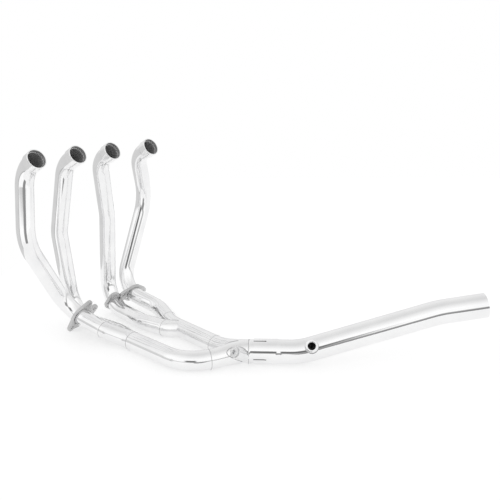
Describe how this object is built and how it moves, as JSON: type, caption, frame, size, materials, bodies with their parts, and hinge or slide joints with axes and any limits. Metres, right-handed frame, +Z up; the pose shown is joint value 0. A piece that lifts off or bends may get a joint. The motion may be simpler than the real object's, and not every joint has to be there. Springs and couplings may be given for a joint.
{
  "type": "motorcycle exhaust header",
  "caption": "Polished stainless exhaust header for an inline-four motorcycle: bent head pipes with loose port flanges merge in pairs, then into a single rear link pipe.",
  "frame": {"origin": "on the floor that the header rests on, under the middle of its bounding box", "axes": "+X back towards the tail end, +Y across towards the side that the tail swings out to, +Z up"},
  "size_m": [0.8646, 0.5372, 0.4315],
  "materials": {
    "head_tube": "polished stainless tube",
    "lower_tube": "polished stainless tube",
    "link_tube": "polished stainless tube",
    "collector_sheet": "polished stainless sheet, satin on top",
    "port_collar": "turned stainless",
    "flange_plate": "matte grey steel plate",
    "sensor_boss": "turned stainless",
    "blanking_plug": "dull steel"
  },
  "bodies": {
    "root": {"head_pipe_1": "head_tube", "head_pipe_2": "head_tube", "head_pipe_3": "head_tube", "head_pipe_4": "head_tube", "port_collar_1": "port_collar", "port_collar_2": "port_collar", "port_collar_3": "port_collar", "port_collar_4": "port_collar", "port_flange_1": "flange_plate", "port_flange_2": "flange_plate", "port_flange_3": "flange_plate", "port_flange_4": "flange_plate", "left_collector": "collector_sheet", "left_secondary": "lower_tube", "right_collector": "collector_sheet", "final_collector": "collector_sheet", "outlet_stub": "lower_tube", "collector_boss": "sensor_boss", "collector_plug": "blanking_plug", "link_pipe": "link_tube", "link_boss": "sensor_boss"}
  },
  "joints": []
}
